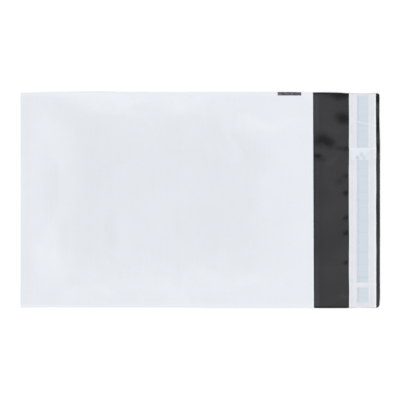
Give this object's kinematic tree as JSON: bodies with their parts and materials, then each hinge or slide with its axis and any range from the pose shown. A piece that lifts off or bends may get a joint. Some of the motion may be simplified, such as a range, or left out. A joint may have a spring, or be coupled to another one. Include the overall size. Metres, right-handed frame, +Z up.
{
  "type": "poly mailer bag",
  "caption": "Flat rectangular mailing pouch of plastic film, open at one end, with a closing lip that carries an adhesive band under a peel-off liner.",
  "frame": {"origin": "centre of the bag's footprint, on the surface that it lies on", "axes": "+X along the bag from the bottom fold to the end of the lip, +Y across it from weld to weld, +Z up out of the back panel"},
  "size_m": [0.2834, 0.17, 0.0061],
  "materials": {
    "film": "satin co-extruded polyethylene film, white outside and dark grey inside",
    "adhesive": "clear tacky hot-melt",
    "liner": "translucent siliconised film"
  },
  "bodies": {
    "root": {"bag_film": "film", "adhesive_strip": "adhesive", "release_liner": "liner"}
  },
  "joints": []
}
